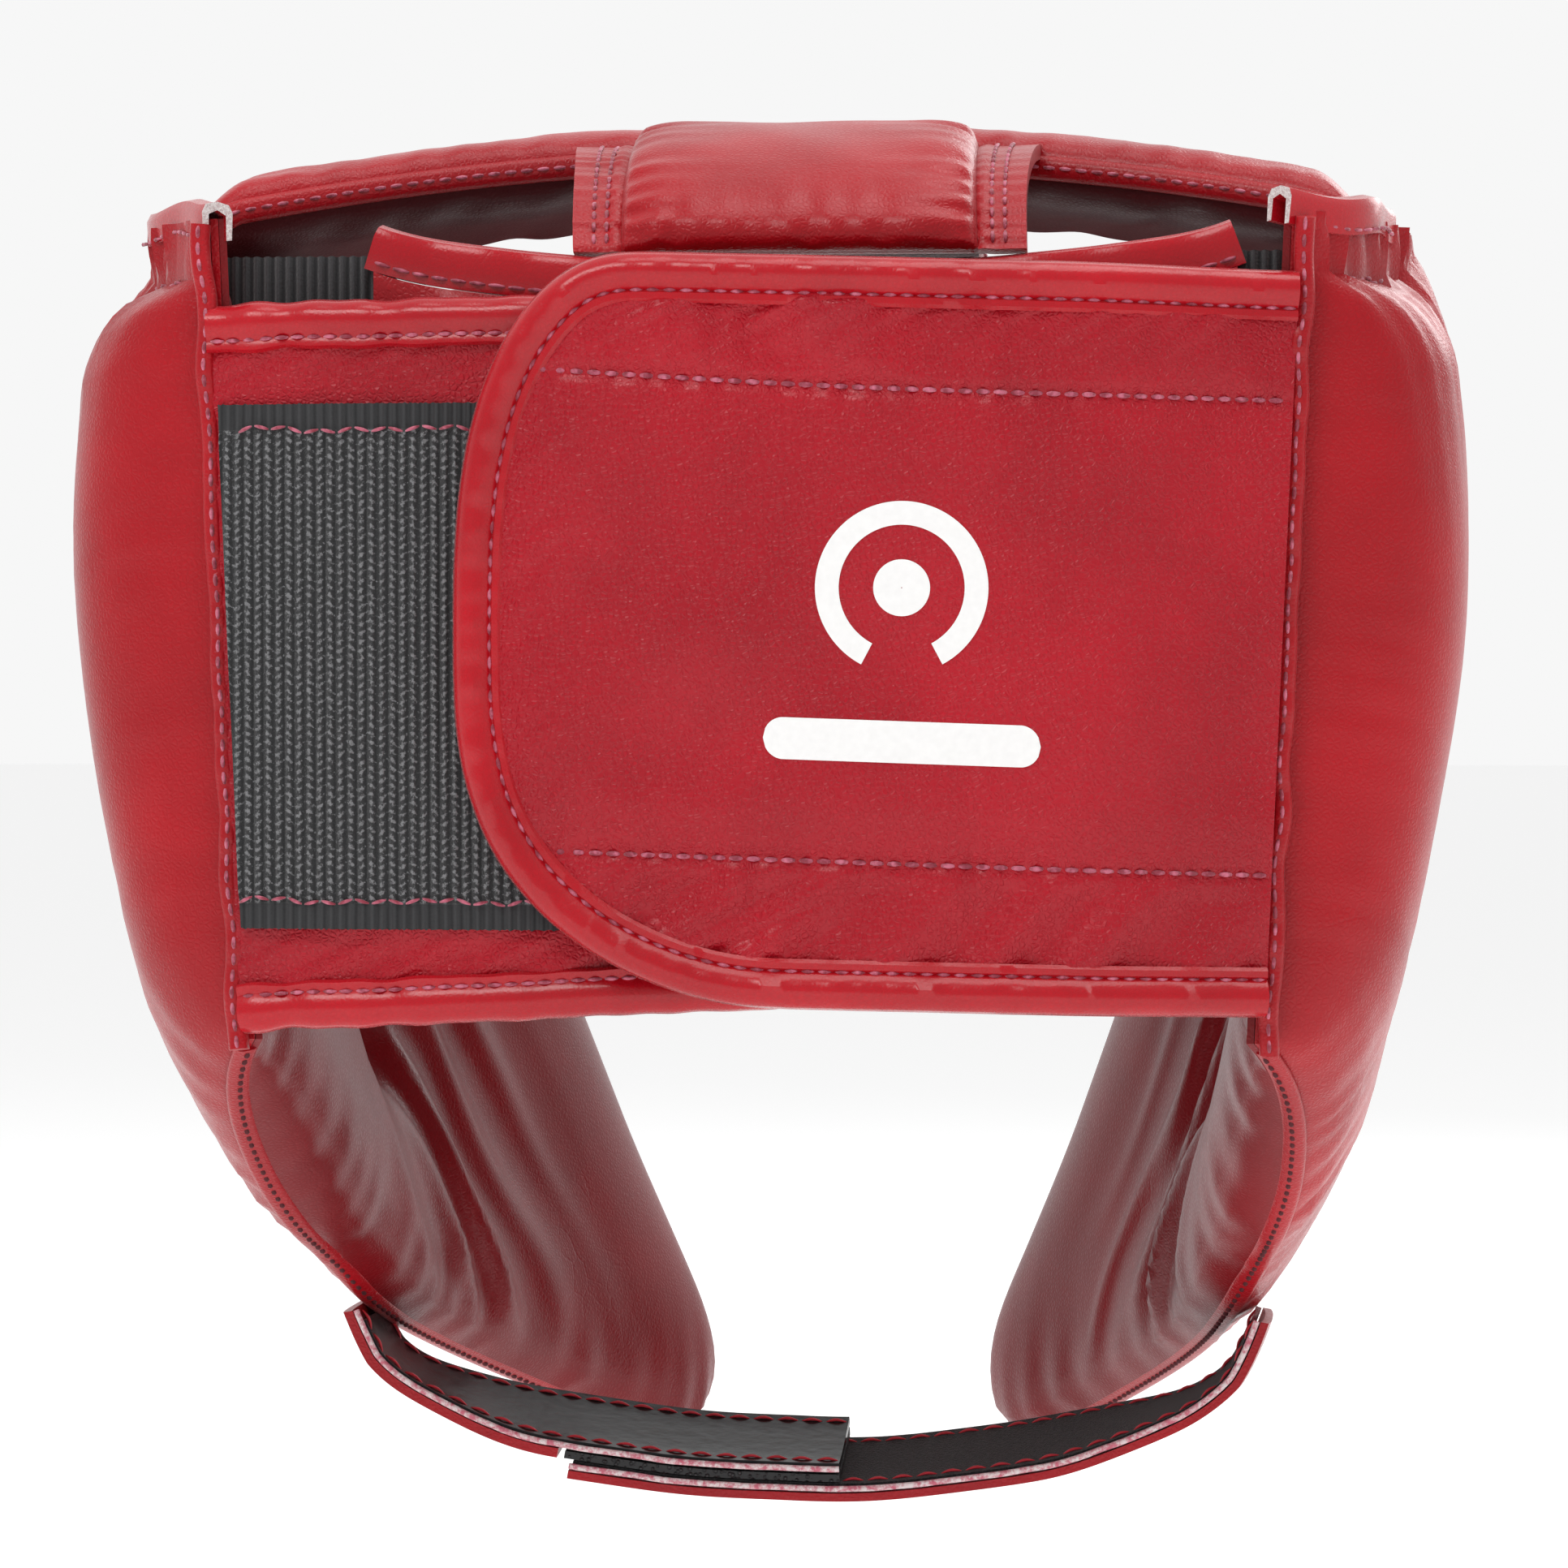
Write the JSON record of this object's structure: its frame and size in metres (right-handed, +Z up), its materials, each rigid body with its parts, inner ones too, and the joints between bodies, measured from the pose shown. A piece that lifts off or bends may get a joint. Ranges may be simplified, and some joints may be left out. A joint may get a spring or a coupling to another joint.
{
  "type": "boxing headgear",
  "caption": "Padded open-face boxing head guard with cheek and ear pads, crown cross, wide hook-and-loop rear closure and a two-part chin strap.",
  "frame": {"origin": "middle of the space for the head, where the head goes", "axes": "+Z is up, the face looks along -Y, +X is the wearer's left"},
  "size_m": [0.2162, 0.2411, 0.2237],
  "materials": {
    "leather": "semi-gloss pebbled synthetic leather",
    "binding": "smooth glossy folded binding",
    "lining": "soft satin synthetic leather",
    "foam": "matt closed-cell foam",
    "loop_tape": "brushed loop pile",
    "hook_tape": "stiff hook tape",
    "elastic": "ribbed woven elastic",
    "webbing": "smooth coated tape"
  },
  "bodies": {
    "shell": {"forehead_cover": "leather", "forehead_foam": "foam", "forehead_lining": "lining", "left_side_cover": "leather", "left_side_foam": "foam", "left_side_lining": "lining", "left_ear_rim": "binding", "right_side_cover": "leather", "right_side_foam": "foam", "right_side_lining": "lining", "right_ear_rim": "binding", "left_neck_binding": "binding", "right_neck_binding": "binding", "left_rear_seam": "binding", "right_rear_seam": "binding", "crown_band_cover": "leather", "crown_band_foam": "foam", "crown_band_lining": "lining", "crown_pad_cover": "leather", "crown_pad_foam": "foam", "crown_pad_lining": "lining", "crown_flange_left": "leather", "crown_flange_right": "leather", "front_strap_cover": "leather", "front_strap_foam": "foam", "front_strap_lining": "lining", "rear_panel_cover": "leather", "rear_panel_foam": "foam", "rear_panel_lining": "lining", "rear_panel_top_binding": "binding", "rear_panel_bottom_binding": "binding", "elastic_left": "elastic", "elastic_right": "elastic"},
    "flap": {"flap_panel": "leather", "flap_binding": "binding", "flap_lining": "lining", "hook_patch": "hook_tape"},
    "base": {"base_panel": "leather", "base_top_binding": "binding", "base_bottom_binding": "binding", "loop_patch": "loop_tape"},
    "strap_right": {"strap_right_leather": "leather", "strap_right_loop": "loop_tape"},
    "strap_left": {"strap_left_leather": "leather", "strap_left_webbing": "webbing", "strap_left_hook": "hook_tape"}
  },
  "joints": [
    {"name": "flap_open", "type": "hinge", "parent": "shell", "child": "flap", "pos_m": [-0.07878, 0.0885, 0.022], "axis": [-0.0446, 0, 0.999], "range_deg": [0, 120]},
    {"name": "base_open", "type": "hinge", "parent": "shell", "child": "base", "pos_m": [0.07878, 0.0819, 0.022], "axis": [-0.0446, 0, -0.999], "range_deg": [0, 40]},
    {"name": "strap_right_drop", "type": "hinge", "parent": "shell", "child": "strap_right", "pos_m": [-0.0718, -0.005, -0.0915], "axis": [0, 1, 0], "range_deg": [0, 100]},
    {"name": "strap_left_drop", "type": "hinge", "parent": "shell", "child": "strap_left", "pos_m": [0.0718, -0.005, -0.0915], "axis": [0, -1, 0], "range_deg": [0, 35]}
  ],
  "couplings": [
    {"joint": "base_open", "follows": "flap_open", "ratio": 0.3},
    {"joint": "strap_left_drop", "follows": "strap_right_drop", "ratio": 0.3}
  ]
}
